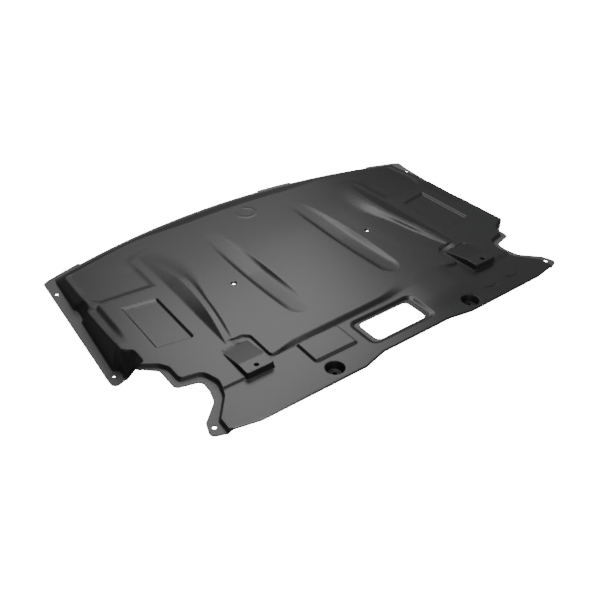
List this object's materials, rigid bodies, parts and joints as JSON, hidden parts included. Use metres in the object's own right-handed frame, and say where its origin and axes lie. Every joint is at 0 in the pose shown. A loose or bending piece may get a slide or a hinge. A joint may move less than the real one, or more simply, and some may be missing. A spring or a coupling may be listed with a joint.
{
  "type": "engine splash shield",
  "caption": "Thin moulded under-engine shield with a curved front edge, curved fins, sunk bolt cups, a rear access opening, drooping side wings and notched rear corners.",
  "frame": {"origin": "bottom centre of the part's box, as it lies on its two wing ends and front edge", "axes": "+X across the vehicle, from the side with the small rear pad to the other; +Y towards the curved front edge; +Z out of the face with the sunk cups"},
  "size_m": [1, 0.6918, 0.0694],
  "materials": {
    "shield": "black moulded plastic, satin with a fine grain"
  },
  "bodies": {
    "root": {"splash_shield": "shield"}
  },
  "joints": []
}
